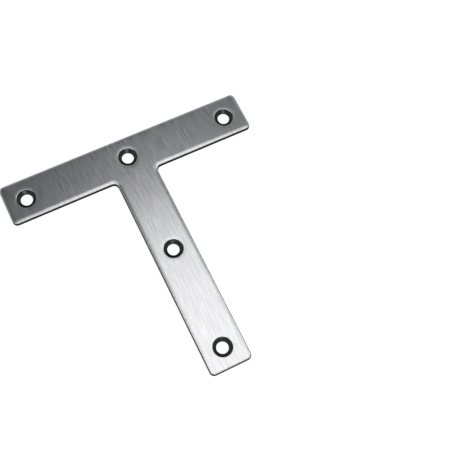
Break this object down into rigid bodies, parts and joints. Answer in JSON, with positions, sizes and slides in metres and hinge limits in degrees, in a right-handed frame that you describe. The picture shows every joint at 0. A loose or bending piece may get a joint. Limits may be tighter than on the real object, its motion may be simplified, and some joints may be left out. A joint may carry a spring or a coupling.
{
  "type": "t plate bracket",
  "caption": "Flat T-shaped steel mending plate with a rolled edge and countersunk screw holes along the crossbar and stem.",
  "frame": {"origin": "middle of the plate's bounding box, on its back face", "axes": "+X along the crossbar, the stem points to -Y, +Z out of the countersunk face"},
  "size_m": [0.12, 0.12, 0.002],
  "materials": {
    "brushed_steel": "stainless steel with a fine straight grain"
  },
  "bodies": {
    "root": {"t_plate": "brushed_steel"}
  },
  "joints": []
}
